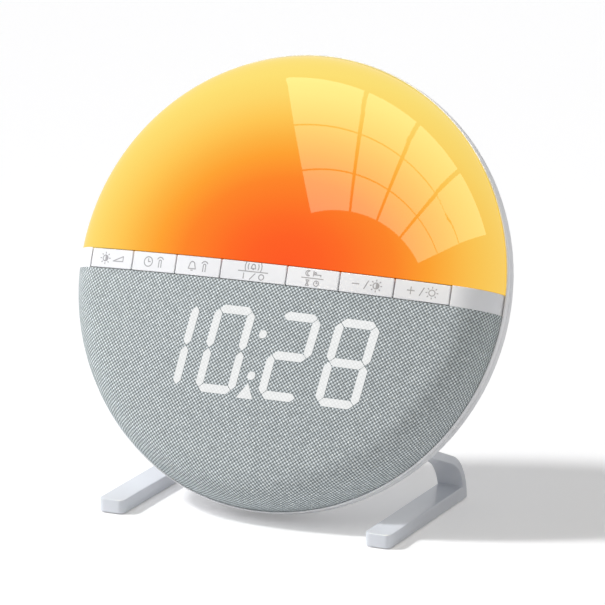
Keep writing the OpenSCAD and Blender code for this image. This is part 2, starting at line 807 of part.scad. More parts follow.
// Cone with a dished cap over its throat
module speaker_cone() color("lightgray") on_speaker() rotate_extrude() {
    throat_r = speaker_r * 0.22;
    throat_z = speaker_depth / 2;
    cap_z = throat_z - 1.8;
    polygon([[0, cap_z], [throat_r, throat_z], [speaker_r - 5.8, 0.4], [speaker_r - 5.8, 0.9],
        [throat_r + 0.2, throat_z + 0.6], [throat_r - 0.8, throat_z + 0.6], [0, cap_z + 0.5]]);
}

module speaker_screws() color("silver") face_frame() speaker_places()
    translate([0, 0, inner_back_z + basket_flange_t]) mirror([0, 0, 1])
        screw(0, 0, 0, basket_flange_t + wall / 2, small_screw_r, washer_r, small_head_h);

module battery_door() color("whitesmoke") face_frame() {
    difference() {
        span([-door_l / 2, hinge_y + door_edge / 2, -body_depth],
            [door_l / 2, door_y + door_h / 2, door_t - body_depth]);
        translate([0, hinge_y, hinge_z]) rotate([0, 90, 0])
            cylinder(h = 2 * door_l, r = door_swing_r, center = true);
        // Finger notch in the upper edge
        translate([0, door_y + door_h / 2 + 4, -body_depth - 1]) cylinder(h = door_t + 0.3, r = 8);
        // Ribs for grip
        for (k = [0 : 3]) translate([0, door_y + 1.5 * k, -body_depth])
            cube([16, 0.7, 0.8], center = true);
    }
    for (side = [-1, 1]) translate([side * tab_x, hinge_y, hinge_z]) {
        rotate([0, 90, 0]) cylinder(h = tab_w, r = barrel_r, center = true, $fn = 32);
        span([-tab_w / 2, 0, -tab_t / 2], [tab_w / 2, tab_l, tab_t / 2]);
    }
}

cell_places = [for (side = [-1, 1]) [side, door_y + side * (cell_d / 2 + 0.3)]];

module backup_cells() color("darkslateblue") face_frame() for (cell = cell_places)
    translate([0, cell[1], cell_z]) rotate([0, cell[0] * 90, 0]) {
        cylinder(h = cell_l - 1, r = cell_d / 2, center = true);
        translate([0, 0, cell_l / 2 - 0.5 - eps]) cylinder(h = 0.5 + eps, r = 1.9);
    }

module battery_contacts() color("silver") face_frame() for (cell = cell_places)
    translate([0, cell[1], cell_z]) rotate([0, cell[0] * 90, 0]) {
        // Button for the positive end
        translate([0, 0, bay_x - 0.4]) {
            translate([-4, -4, 0]) cube([8, 8, 0.4]);
            translate([0, 0, cell_l / 2 - bay_x + 0.4]) cylinder(h = bay_x - 0.4 - cell_l / 2, r = 2.4);
        }
        // Spring for the negative end
        translate([0, 0, -bay_x]) {
            translate([-4, -4, 0]) cube([8, 8, 0.4]);
            for (k = [0 : 3]) translate([0, 0, 0.75 + 0.66 * k])
                rotate_extrude($fn = 32) translate([3.4 - 0.4 * k, 0]) circle(r = 0.4, $fn = 16);
        }
    }

module power_socket() color("black") face_frame()
    translate([socket_x, -socket_drop, inner_back_z]) difference() {
        span([-socket_body[0] / 2, -socket_body[1] / 2, 0],
            [socket_body[0] / 2, socket_body[1] / 2, socket_body[2]]);
        translate([0, 0, -eps]) cylinder(h = 9, r = socket_r);
    }

module power_pin() color("silver") face_frame()
    pin(socket_x, -socket_drop, inner_back_z + 1, inner_back_z + 9 - eps, 1);

// ---- Feet ----

// Side view of a foot: a bar on the table, a bend at the heel and an arm along the lean
module foot_profile() {
    arm_start = (pad_proud - face_z) * sin(tilt) - heel_y * cos(tilt);
    bar_end = heel_y + sqrt((heel_r - arm_t / 2)^2 - bar_h^2);
    translate([-toe_reach, 0]) square([toe_reach + bar_end, bar_h]);
    intersection() {
        translate([heel_y, 0]) rotate(90 - tilt) {
            difference() {
                circle(r = heel_r);
                circle(r = heel_r - arm_t);
                translate([-big, 0]) square([2 * big, big]);
            }
            translate([heel_r - arm_t, 0]) square([arm_t, tongue_z - arm_start]);
        }
        translate([-big, 0]) square([2 * big, big]);
    }
}

pad_places = [-toe_reach + 9, heel_reach - 9];

module foot(side) difference() {
    translate([side * foot_x, face_y, pad_proud]) intersection() {
        translate([-foot_w / 2, 0, 0]) rotate([90, 0, 90]) linear_extrude(foot_w) foot_profile();
        linear_extrude(big) {
            translate([-foot_w / 2, toe_corner_r - toe_reach])
                square([foot_w, toe_reach + heel_reach]);
            translate([toe_corner_r - foot_w / 2, -toe_reach])
                square([foot_w - 2 * toe_corner_r, toe_reach + heel_reach]);
            for (s = [-1, 1])
                translate([s * (foot_w / 2 - toe_corner_r), toe_corner_r - toe_reach])
                    circle(r = toe_corner_r, $fn = 32);
        }
    }
    for (y = pad_places)
        pin(side * foot_x, face_y + y, -eps, pad_seat, pad_r + pad_gap);
    face_frame() pin(side * foot_x, arm_y, tongue_z - foot_screw_l, big, small_screw_r + 0.05);
}

module left_foot() color("white") foot(-1);
module right_foot() color("white") foot(1);

module foot_pads() color("silver") for (side = [-1, 1], y = pad_places)
    pin(side * foot_x, face_y + y, 0, pad_seat, pad_r);

module foot_screws() color("silver") face_frame() for (side = [-1, 1])
    translate([side * foot_x, arm_y, tongue_z + socket_front]) mirror([0, 0, 1])
        screw(0, 0, 0, foot_screw_l + socket_front - 0.5, small_screw_r, small_head_r,
            small_head_h);

module housing_screws() color("silver") face_frame() on_screw_ring()
    screw(0, 0, boss_end_z - screw_shelf, screw_shelf - boss_end_z - seam_depth, screw_r,
        screw_head_r, screw_head_h);

rear_housing();
front_frame();
lamp_diffuser();
lamp_reflector();
lamp_board();
lamp_leds();
grille_panel();
fabric_cover();
display_lens();
display_block();
display_segments();
display_board();
display_leds();
display_screws();
key_dimmer();
key_time();
key_alarm();
key_alarm_switch();
key_sleep_timer();
key_minus();
key_plus();
plunger_dimmer();
plunger_time();
plunger_alarm();
plunger_alarm_switch();
plunger_sleep_timer();
plunger_minus();
plunger_plus();
key_board();
key_switches();
key_board_screws();
main_board();
board_chips();
main_board_screws();
speaker_basket();
speaker_magnet();
speaker_surround();
speaker_cone();
speaker_screws();
battery_door();
battery_contacts();
backup_cells();
power_socket();
power_pin();
left_foot();
right_foot();
foot_pads();
foot_screws();
housing_screws();
lamp_screws();
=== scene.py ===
import json
import math

import bmesh
import bpy
from mathutils import Matrix, Vector


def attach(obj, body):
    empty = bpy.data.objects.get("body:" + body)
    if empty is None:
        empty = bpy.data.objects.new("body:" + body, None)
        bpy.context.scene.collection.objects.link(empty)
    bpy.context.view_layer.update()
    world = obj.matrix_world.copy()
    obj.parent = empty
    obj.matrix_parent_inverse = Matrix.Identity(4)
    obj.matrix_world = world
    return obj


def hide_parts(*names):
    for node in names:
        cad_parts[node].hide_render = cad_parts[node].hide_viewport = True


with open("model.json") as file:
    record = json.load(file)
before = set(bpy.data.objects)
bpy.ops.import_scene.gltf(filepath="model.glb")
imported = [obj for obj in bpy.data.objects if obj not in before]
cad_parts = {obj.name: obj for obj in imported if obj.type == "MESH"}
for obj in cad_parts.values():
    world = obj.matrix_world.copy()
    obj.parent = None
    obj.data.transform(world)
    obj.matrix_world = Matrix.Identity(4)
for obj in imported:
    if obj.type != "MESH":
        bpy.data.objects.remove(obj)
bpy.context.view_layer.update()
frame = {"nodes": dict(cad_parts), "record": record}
mm = 0.001
samePoint = 0.002            # millimetres within which two points of a piece are one

# The face leans back by tilt. Its own frame has x to the right, y up the face and z out of it,
# in millimetres, with z = 0 where the dome meets its rim.
face = {
    "tilt": 21,              # degrees
    "height": 84.113,        # of that frame's origin over the table
    "forward": -0.281,       # of the same origin along the world's y
    "radius": 85,
    "domeHeight": 25.9,
    "edgeRadius": 17.7,      # rounded edge of the dome
    "stripHeight": 7.6,      # band across the middle that the keys fill
    "creaseAngle": 35,       # degrees from which an edge of a drawn piece stays sharp
    "bevelAngle": 40,        # and from which it is bevelled, where the piece has bevels
}

tilt = math.radians(face["tilt"])
faceMatrix = (
    Matrix.Translation(Vector((0, face["forward"], face["height"])) * mm)
    @ Matrix.Rotation(math.pi / 2 - tilt, 4, "X")
    @ Matrix.Scale(mm, 4)
)
halfStrip = face["stripHeight"] / 2

# The dome is a wide crown that runs into its rounded edge without a crease
edgeCentre = face["radius"] - face["edgeRadius"]
crownRise = face["domeHeight"] - face["edgeRadius"]
crownRadius = face["edgeRadius"] + (edgeCentre**2 + crownRise**2) / (2 * crownRise)
crownCentre = face["domeHeight"] - crownRadius
crownAngle = math.asin(edgeCentre / (crownRadius - face["edgeRadius"]))
crownEdge = crownRadius * math.sin(crownAngle)
crownLength = crownRadius * crownAngle
edgeLength = face["edgeRadius"] * (math.pi / 2 - crownAngle)


def domeHeight(r):
    # Height of the dome at a distance r from its middle
    if r < crownEdge:
        return crownCentre + math.sqrt(crownRadius**2 - r**2)
    return math.sqrt(max(0, face["edgeRadius"] ** 2 - (r - edgeCentre) ** 2))


def domeSlope(r):
    # Angle by which the dome has turned down at a distance r from its middle
    if r < crownEdge:
        return math.asin(r / crownRadius)
    return math.asin(min(1, (r - edgeCentre) / face["edgeRadius"]))


def unrolled(r):
    # Distance along the dome from its middle to a radius r
    if r < crownEdge:
        return crownRadius * domeSlope(r)
    return crownLength + face["edgeRadius"] * (domeSlope(r) - crownAngle)


def rolled(length):
    # (radius, height) on the dome at that distance along it, and on down behind the rim
    if length < crownLength:
        a = length / crownRadius
        return crownRadius * math.sin(a), crownCentre + crownRadius * math.cos(a)
    a = crownAngle + (length - crownLength) / face["edgeRadius"]
    if a < math.pi / 2:
        return edgeCentre + face["edgeRadius"] * math.sin(a), face["edgeRadius"] * math.cos(a)
    return face["radius"], crownLength + edgeLength - length


def bothWays(operation):
    # An operator with the wire on its left, and its reflected form with the wire on its right
    def forward(wire, other):
        return wire.node("Math", {"operation": operation}, {0: wire, 1: other})

    def reflected(wire, other):
        return wire.node("Math", {"operation": operation}, {0: other, 1: wire})

    return forward, reflected


class Wire:
    # A socket of a node tree, with the operators that shader maths uses
    def __init__(self, tree, socket=None):
        self.tree, self.socket = tree, socket

    __add__, __radd__ = bothWays("ADD")
    __sub__, __rsub__ = bothWays("SUBTRACT")
    __mul__, __rmul__ = bothWays("MULTIPLY")
    __truediv__, __rtruediv__ = bothWays("DIVIDE")
    __pow__, __rpow__ = bothWays("POWER")

    def node(self, kind, settings=None, inputs=None, output=0):
        # Settings are set first, then each input socket gets its value or its link
        made = self.tree.nodes.new("ShaderNode" + kind)
        settings = dict(settings or {})
        stops = settings.pop("stops", [])
        for name, value in settings.items():
            setattr(made, name, value)
        if stops:
            ramp = made.color_ramp.elements
            while len(ramp) < len(stops):
                ramp.new(1)
            for stop, (place, colour) in zip(ramp, stops):
                stop.position, stop.color = place, (*colour, 1)
        for name, value in (inputs or {}).items():
            if isinstance(value, Wire):
                self.tree.links.new(value.socket, made.inputs[name])
            else:
                made.inputs[name].default_value = value
        return Wire(self.tree, made.outputs[output] if made.outputs else None)

    def maths(self, operation, *others):
        return self.node("Math", {"operation": operation}, dict(enumerate((self, *others))))

    def ramp(self, low, high, outLow=0.0, outHigh=1.0):
        # Smooth step from outLow to outHigh while this goes from low to high
        return self.node(
            "MapRange",
            {"interpolation_type": "SMOOTHSTEP"},
            {"Value": self, "From Min": low, "From Max": high, "To Min": outLow, "To Max": outHigh},
        )

    def upTo(self, share):
        # A value from 0 to 1 squeezed into the top share of that range
        return self * share + (1 - share)

    def mix(self, low, high):
        # Colour between two colours, with this as the factor
        colours = {6: (*low, 1), 7: (*high, 1)}
        return self.node("Mix", {"data_type": "RGBA"}, {0: self, **colours}, 2)

    def darkened(self, share):
        # This colour with that share of black
        return self.node("Mix", {"data_type": "RGBA"}, {0: share, 6: self, 7: (0, 0, 0, 1)}, 2)

    def parts(self):
        split = self.node("SeparateXYZ", None, {0: self})
        return [Wire(self.tree, out) for out in split.socket.node.outputs]

    def noise(self, scale, detail=2.0):
        return self.node("TexNoise", None, {"Vector": self, "Scale": scale, "Detail": detail})

    def scaled(self, factor):
        return self.node("VectorMath", {"operation": "MULTIPLY"}, {0: self, 1: (factor,) * 3})

    def bumped(self, strength, distance):
        # Normal of a surface that has this as its relief
        relief = {"Height": self, "Strength": strength, "Distance": distance}
        return self.node("Bump", None, relief)


def srgb(r, g, b):
    # Linear colour, by the standard's own curve, of one given from 0 to 255
    return tuple(
        c / 12.92 if c <= 0.04045 else ((c + 0.055) / 1.055) ** 2.4
        for c in (r / 255, g / 255, b / 255)
    )


def newMaterial(name, values):
    # values(start) gives the shader's values by socket name
    made = bpy.data.materials.new(name)
    made.use_nodes = True
    made.node_tree.nodes.clear()
    start = Wire(made.node_tree)
    shader = start.node("BsdfPrincipled", None, values(start))
    start.node("OutputMaterial", None, {"Surface": shader})
    return made


def objectPlace(start):
    return start.node("TexCoord", None, None, "Object")


# Plastic, metal and boards: faint mottling, uneven gloss and fine grain
moulding = {
    "mottling": 35,          # patches in a metre
    "shadeRange": (0.3, 0.7),    # of the mottling, over which the colour goes from dark to light
    "glossRange": (0.2, 0.8),    # and over which the roughness rises
    "grain": 900,            # grains in a metre
    "grainDepth": 0.0004,    # metres, which each finish takes a share of
    "uneven": 0.12,          # share by which the roughness goes up and down
    "coatRoughness": 0.08,
}


def moulded(name, colour, roughness, coat=0.0, metallic=0.0, depth=0.02, vary=0.03):
    def values(start):
        patches = objectPlace(start).noise(moulding["mottling"], 3)
        grain = objectPlace(start).noise(moulding["grain"])
        darker = [c * (1 - vary) for c in colour]
        lighter = [min(1, c * (1 + vary)) for c in colour]
        glossy, dull = (roughness * (1 + moulding["uneven"] * way) for way in (-1, 1))
        return {
            "Base Color": patches.ramp(*moulding["shadeRange"]).mix(darker, lighter),
            "Roughness": patches.ramp(*moulding["glossRange"], glossy, dull),
            "Metallic": metallic,
            "Coat Weight": coat,
            "Coat Roughness": moulding["coatRoughness"],
            "Normal": grain.bumped(depth, moulding["grainDepth"]),
        }

    return newMaterial(name, values)


whiteKeys = moulded("whiteKeys", srgb(236, 237, 240), 0.34, coat=0.15)
whiteFrame = moulded("whiteFrame", srgb(236, 237, 240), 0.3, coat=0.2)
whiteShell = moulded("whiteShell", srgb(232, 233, 236), 0.42, depth=0.06)
paintedFoot = moulded("paintedFoot", srgb(222, 226, 233), 0.33, coat=0.1)
# Finish of each CAD node by its slot. The white shell's stands in where a drawn piece takes over
finishes = {
    "white_shell": whiteShell,
    "foot_white": paintedFoot,
    "key_white": whiteKeys,
    "reflector_white": moulded("reflectorWhite", srgb(245, 245, 243), 0.5),
    "lamp_board_white": moulded("boardWhite", srgb(238, 240, 236), 0.35),
    "leds": moulded("ledYellow", srgb(240, 214, 120), 0.25),
    "light_guides": moulded("lightGuides", srgb(235, 238, 240), 0.4),
    "lens": moulded("lensSmoke", srgb(120, 122, 126), 0.2),
    "dark_panel": moulded("darkPanel", srgb(38, 39, 41), 0.55),
    "board_green": moulded("boardGreen", srgb(26, 84, 52), 0.35, vary=0.1),
    "black_plastic": moulded("blackPlastic", srgb(24, 24, 26), 0.45),
    "steel": moulded("steel", srgb(188, 190, 194), 0.28, metallic=1.0),
    "magnet": moulded("magnet", srgb(96, 98, 102), 0.35, metallic=1.0),
    "basket": moulded("basket", srgb(52, 54, 58), 0.45),
    "cone": moulded("coneGrey", srgb(58, 58, 60), 0.8, depth=0.2),
    "surround": moulded("surround", srgb(20, 20, 21), 0.6),
    "cell_wrap": moulded("cellWrap", srgb(44, 66, 112), 0.3, vary=0.08),
    "pad_rubber": moulded("padRubber", srgb(200, 202, 206), 0.6),
}
for part in frame["record"]["subparts"]:
    shown = frame["nodes"][part["node"]]
    shown.data.materials.clear()
    shown.data.materials.append(finishes.get(part["material_slot"], whiteShell))

# The back shell is shaded evenly across its thin faces, with creases kept at its edges
shellShading = {
    "weldWithin": 0.000005,  # metres
    "creaseAngle": 30,
}
shell = frame["nodes"]["rear_housing"]
shell.modifiers.new("weld", "WELD").merge_threshold = shellShading["weldWithin"]
shell.modifiers.new("split", "EDGE_SPLIT").split_angle = math.radians(shellShading["creaseAngle"])
shell.modifiers.new("even", "WEIGHTED_NORMAL").mode = "FACE_AREA"
print("CAD pieces finished")


def newMesh(name, vertices, faces, layout=None, joined=False):
    # layout gives each point's place on the laid-out fabric. Points that fall together are joined
    # where joined is true.
    mesh = bpy.data.meshes.new(name)
    mesh.from_pydata(vertices, [], faces)
    if layout:
        laid = mesh.uv_layers.new(name="laidOut")
        for loop in mesh.loops:
            laid.data[loop.index].uv = layout[loop.vertex_index]
    if joined:
        built = bmesh.new()
        built.from_mesh(mesh)
        bmesh.ops.remove_doubles(built, verts=built.verts, dist=samePoint)
        built.to_mesh(mesh)
        built.free()
    return mesh


def gridFaces(columns, rows, start=0):
    # Faces of a grid whose points are listed column by column
    corners = [start + i * rows + j for i in range(columns - 1) for j in range(rows - 1)]
    return [(k, k + rows, k + rows + 1, k + 1) for k in corners]


def newPiece(mesh, material, node, body, place=faceMatrix):
    # A drawn piece that rides on its body and stands for a CAD node, if one is named
    made = bpy.data.objects.new(mesh.name, mesh)
    bpy.context.scene.collection.objects.link(made)
    mesh.transform(place)
    mesh.materials.append(material)
    for polygon in mesh.polygons:
        polygon.use_smooth = True
    mesh.set_sharp_from_angle(angle=math.radians(face["creaseAngle"]))
    bpy.context.view_layer.update()
    if node:
        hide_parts(node)
    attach(made, body)
    return made


def bevelled(piece, width, segments=3):
    bevel = piece.modifiers.new("edges", "BEVEL")
    bevel.width, bevel.segments = width * mm, segments
    bevel.limit_method, bevel.angle_limit = "ANGLE", math.radians(face["bevelAngle"])
    bevel.harden_normals = True


# The lamp and the fabric are sheets over half of the dome each
sheets = {
    "columns": 161,
    "rows": 60,
    "foldRows": 4,
    "lap": 0.8,              # how far a sheet runs down behind the rim
    "rimSpread": 0.3,        # how much it widens where it meets the rim's lip
    "spreadWidth": 1.2,      # width of the band in which it widens
    "lapPower": 40,          # how closely the lap keeps to the ends of the straight edge
    "foldPower": 8,          # and how closely the fold does
}


def onDome(spot):
    # Point of the dome that a place on a laid-out sheet comes to
    r, height = rolled(spot.length)
    near = max(0, 1 - (face["radius"] - r) / sheets["spreadWidth"])
    point = spot.normalized() * (r + sheets["rimSpread"] * near**2)
    return Vector((point.x, point.y, height))


def halfDome(name, side, gap, foldRadius, foldDepth):
    # Half disc of sheet above the key strip, or below it where side is -1. Its straight edge
    # keeps that gap from the strip and folds down there, and its arc goes down behind the rim.
    columns, rows, foldRows = sheets["columns"], sheets["rows"], sheets["foldRows"]
    edge = halfStrip + gap
    halfWidth = math.sqrt(face["radius"] ** 2 - edge**2)
    halfArc = math.acos(edge / face["radius"])
    reach = crownLength + edgeLength + sheets["lap"]
    vertices, layout = [], []
    for i in range(columns):
        s = 2 * i / (columns - 1) - 1
        arcEnd = reach * Vector((math.sin(s * halfArc), math.cos(s * halfArc)))
        flat = Vector((s * halfWidth, edge))
        length = unrolled(min(flat.length, face["radius"]))
        straight = flat.normalized() * (length + sheets["lap"] * abs(s) ** sheets["lapPower"])
        fold = onDome(straight)
        for k in range(foldRows):
            turned = math.pi / 2 * k / foldRows
            drop = foldRadius * (1 - math.sin(turned)) + (foldDepth if k == 0 else 0)
            inset = foldRadius * (1 - math.cos(turned))
            vertices.append((fold.x, (fold.y + inset) * side, fold.z - drop))
            layout.append((fold.x, straight.y * side - drop))
        for j in range(rows):
            spot = straight.lerp(arcEnd, j / (rows - 1))
            if j == 0:
                spot.y += foldRadius * (1 - abs(s) ** sheets["foldPower"])
            point = onDome(spot)
            vertices.append((point.x, point.y * side, point.z))
            layout.append((spot.x, spot.y * side))
    faces = gridFaces(columns, rows + foldRows)
    if side < 0:
        faces = [tuple(reversed(corners)) for corners in faces]
    return newMesh(name, vertices, faces, layout, joined=True)


# Lamp: its glow changes with the distance from a hot spot just above the keys, in millimetres
lamp = {
    "gap": 0.1,
    "foldRadius": 0.4,
    "foldDepth": 1.5,
    "hotSpot": (8, 2),
    "rise": 1.23,            # the glow falls off faster up the face than across it
    "reach": 95,
    "strength": 0.92,
    "dark": 0.92,            # how much darker its own colour is than its glow
    "roughness": 0.35,
    "coat": 0.5,
    "coatRoughness": 0.015,
    "stops": [
        (0, (255, 82, 0)), (15, (255, 91, 0)), (24, (255, 102, 2)), (33, (254, 117, 8)),
        (42, (254, 130, 14)), (54, (254, 160, 32)), (62, (253, 178, 54)), (71, (254, 198, 76)),
        (82, (253, 215, 100)), (92, (253, 224, 110)),
    ],
}


def lampValues(start):
    x, y, z = objectPlace(start).scaled(1 / mm).parts()
    upFace = (y - face["forward"]) * math.sin(tilt) + (z - face["height"]) * math.cos(tilt)
    across = x - lamp["hotSpot"][0]
    up = (upFace - lamp["hotSpot"][1]) * lamp["rise"]
    distance = (across * across + up * up) ** 0.5
    stops = [(place / lamp["reach"], srgb(*colour)) for place, colour in lamp["stops"]]
    glow = start.node("ValToRGB", {"stops": stops}, {0: distance / lamp["reach"]})
    return {
        "Base Color": glow.darkened(lamp["dark"]),
        "Roughness": lamp["roughness"],
        "Specular IOR Level": 0.0,
        "Coat Weight": lamp["coat"],
        "Coat Roughness": lamp["coatRoughness"],
        "Emission Color": glow,
        "Emission Strength": lamp["strength"],
    }


lampSheet = halfDome("lamp", 1, lamp["gap"], lamp["foldRadius"], lamp["foldDepth"])
newPiece(lampSheet, newMaterial("lampGlass", lampValues), "lamp_diffuser", "housing")

# Fabric: a basket weave of two tones, drawn on the laid-out sheet in millimetres
weave = {
    "gap": -0.05,            # it reaches just under the strip
    "foldRadius": 0.3,
    "foldDepth": 1.2,
    "pitch": 1.11,           # between two yarns
    "turn": 36,              # degrees of the first yarns from level
    "dark": (124, 133, 136),
    "light": (238, 246, 249),
    "fleck": 0.28,           # share by which the cells differ in brightness
    "crossingRange": (0.05, 0.75),   # nearness to a crossing over which the tone rises
    "yarnRange": (0.3, 1),           # and nearness to a yarn's middle
    "crossingTone": 0.75,    # share of the tone that comes from the crossings
    "crossingRelief": 0.6,   # and of the relief
    "relief": 0.85,
    "reliefDepth": 0.0006,   # metres
    "roughness": 0.9,
    "specular": 0.2,
}


def weaveParts(start):
    # (how near a crossing of two yarns, how near the middle of a yarn, brightness of each cell)
    u, v = start.node("UVMap", {"uv_map": "laidOut"}).parts()[:2]
    turn = math.radians(weave["turn"])
    first = (u * math.cos(turn) + v * math.sin(turn)) / weave["pitch"]
    second = (v * math.cos(turn) - u * math.sin(turn)) / weave["pitch"]
    firstWave = (first * math.pi).maths("SINE").maths("ABSOLUTE")
    secondWave = (second * math.pi).maths("SINE").maths("ABSOLUTE")
    cells = start.node("CombineXYZ", None, {0: first.maths("FLOOR"), 1: second.maths("FLOOR")})
    fleck = start.node("TexWhiteNoise", {"noise_dimensions": "2D"}, {"Vector": cells})
    return firstWave * secondWave, firstWave.maths("MAXIMUM", secondWave), fleck


def fabricValues(start):
    crossing, yarn, fleck = weaveParts(start)
    tone = crossing.ramp(*weave["crossingRange"]) * weave["crossingTone"]
    tone += yarn.ramp(*weave["yarnRange"]) * (1 - weave["crossingTone"])
    tone *= fleck.upTo(weave["fleck"])
    relief = crossing * weave["crossingRelief"] + yarn * (1 - weave["crossingRelief"])
    return {
        "Base Color": tone.mix(srgb(*weave["dark"]), srgb(*weave["light"])),
        "Roughness": weave["roughness"],
        "Specular IOR Level": weave["specular"],
        "Normal": relief.bumped(weave["relief"], weave["reliefDepth"]),
    }


fabricSheet = halfDome("fabric", -1, weave["gap"], weave["foldRadius"], weave["foldDepth"])
greyFabric = newMaterial("greyFabric", fabricValues)
fabric = newPiece(fabricSheet, greyFabric, "fabric_cover", "housing")
print("lamp and fabric made")

# Key strip: seven caps between two fixed ends, which are part of the front frame
strip = {
    "keys": ("dimmer", "time", "alarm", "alarm_switch", "sleep_timer", "minus", "plus"),
    # places of the joins along the strip, as shares of the face's radius
    "joins": (-0.8824, -0.6577, -0.433, -0.2083, 0.1058, 0.3478, 0.5898, 0.8318),
    "gap": 0.5,              # between neighbours
    "sideGap": 0.25,         # between a cap and the lamp, or the fabric
    "skirt": 3.5,            # depth of a cap
    "edge": 0.3,
    "endDepth": 2,
    "endEdge": 0.2,
    "columns": 40,
    "endColumns": 60,
    "rows": 14,
}
joins = [face["radius"] * share for share in strip["joins"]]


def domedBlock(name, left, right, half, depth, columns):
    # Block across the strip from left to right, whose top follows the dome as far as its edge
    rows = strip["rows"]
    vertices = []
    for i in range(columns):
        for j in range(rows):
            y = half * (2 * j / (rows - 1) - 1)
            reach = math.sqrt(face["radius"] ** 2 - y**2)
            x = max(-reach, min(reach, left + (right - left) * i / (columns - 1)))
            vertices.append((x, y, domeHeight(min(math.hypot(x, y), face["radius"]))))
    border = (
        [i * rows for i in range(columns)]
        + [(columns - 1) * rows + j for j in range(1, rows)]
        + [i * rows + rows - 1 for i in range(columns - 2, -1, -1)]
        + list(range(rows - 2, 0, -1))
    )
    base, count = len(vertices), len(border)
    for k in border:
        x, y, z = vertices[k]
        vertices.append((x, y, z - depth))
    faces = gridFaces(columns, rows)
    for k in range(count):
        after = (k + 1) % count
        faces.append((border[k], base + k, base + after, border[after]))
    return newMesh(name, vertices, faces, joined=True)


for key, left, right in zip(strip["keys"], joins, joins[1:]):
    cap = domedBlock("keyCap_" + key, left + strip["gap"] / 2, right - strip["gap"] / 2,
                     halfStrip - strip["sideGap"], strip["skirt"], strip["columns"])
    bevelled(newPiece(cap, whiteKeys, "key_" + key, "key_" + key), strip["edge"])
for side, where, join in ((-1, "Left", joins[0]), (1, "Right", joins[-1])):
    left, right = sorted((join + side * strip["gap"] / 2, side * face["radius"]))
    end = domedBlock("stripEnd" + where, left, right, halfStrip, strip["endDepth"],
                     strip["endColumns"])
    bevelled(newPiece(end, whiteFrame, None, "housing"), strip["endEdge"])

# Signs printed on the keys: each is a list of strokes through points in millimetres
legends = {
    "width": 0.38,
    "lift": 0.03,            # over the cap
    "stagger": 0.0004,       # so that two strokes that cross never share a height
    "step": 1.5,             # longest straight piece of a stroke
    "overlap": 0.6,          # of neighbouring pieces, as a share of half the width
    "turnStep": 20,          # degrees of a round stroke from point to point
    "colour": (158, 158, 163),
}


def ring(x, y, radius, start=0, end=360):
    steps = max(3, round(abs(end - start) / legends["turnStep"]))
    angles = [math.radians(start + (end - start) * k / steps) for k in range(steps + 1)]
    return [(x + radius * math.cos(a), y + radius * math.sin(a)) for a in angles]


def sun(x, y, size, rays=8):
    turns = [2 * math.pi * k / rays for k in range(rays)]
    return [ring(x, y, size * 0.5)] + [
        [(x + size * r * math.cos(a), y + size * r * math.sin(a)) for r in (0.8, 1)] for a in turns
    ]


def halfSun(x, y, size):
    # A sun with its right half hatched
    strokes = sun(x, y, size)
    for k in (0.06, 0.2, 0.34):
        reach = size * math.sqrt(0.22 - k * k)
        strokes.append([(x + size * k, y - reach), (x + size * k, y + reach)])
    return strokes


def clock(x, y, size):
    return [ring(x, y, size), [(x, y + size * 0.62), (x, y), (x + size * 0.5, y)]]


def bell(x, y, size):
    outline = ring(x, y + size * 0.25, size * 0.55, 0, 180)
    outline += [(x - size * 0.8, y - size * 0.6), (x + size * 0.8, y - size * 0.6), outline[0]]
    return [outline, [(x - size * 0.2, y - size * 0.9), (x + size * 0.2, y - size * 0.9)]]


def bed(x, y, size):
    head, end = x - size * 1.6, x + size * 1.6
    return [[(head, y + size), (head, y - size)],
            [(head, y - size * 0.4), (end, y - size * 0.4), (end, y - size)],
            ring(x - size * 0.8, y + size * 0.2, size * 0.35)]


def moon(x, y, size):
    return [ring(x, y, size, 60, 300) + ring(x + size * 0.55, y, size * 0.87, 266, 94)]


def hourglass(x, y, size):
    left, right = x - size * 0.6, x + size * 0.6
    return [[(left, y + size), (right, y + size), (left, y - size), (right, y - size),
             (left, y + size)]]


def press(x, y, size):
    # A fingertip with an arc over it
    tip = ring(x, y + size * 0.35, size * 0.28, 0, 180)
    finger = [(x + size * 0.28, y - size * 0.9), *tip, (x - size * 0.28, y - size * 0.9)]
    return [finger, ring(x, y + size * 0.45, size * 0.75, 25, 155)]


wedge = [(0.9, -0.9), (5.3, -0.9), (5.3, 1.0), (0.9, -0.9)]
ringing = [ring(0, 1.8, radius, turn - 28, turn + 28) for radius in (2.2, 3.4) for turn in (0, 180)]
onOff = [[(-3.6, -0.75), (-3.6, -2.75)], [(-1, -2.9), (1, -0.6)], ring(3.6, -1.75, 1)]
minusSlash = [[(-5.3, 0), (-2.7, 0)], [(-0.7, -1.5), (0.7, 1.5)]]
plusSlash = [minusSlash[0], [(-4, -1.3), (-4, 1.3)], minusSlash[1]]
signs = {
    "dimmer": halfSun(-2.8, 0, 2.2) + [wedge],
    "time": clock(-2.4, 0, 1.8) + press(2.8, -0.2, 1.8),
    "alarm": bell(-2.4, 0, 1.9) + press(2.8, -0.2, 1.8),
    "alarm_switch": bell(0, 1.85, 1.15) + ringing + [[(-6, 0), (6, 0)]] + onOff,
    "sleep_timer": moon(-1.8, 1.75, 1) + bed(1.7, 1.75, 0.9) + [[(-4.2, 0), (4.2, 0)]]
    + hourglass(-1.8, -1.75, 1) + clock(1.7, -1.75, 0.95),
    "minus": minusSlash + halfSun(3.7, 0, 2.2),
    "plus": plusSlash + sun(3.7, 0, 2.2),
}


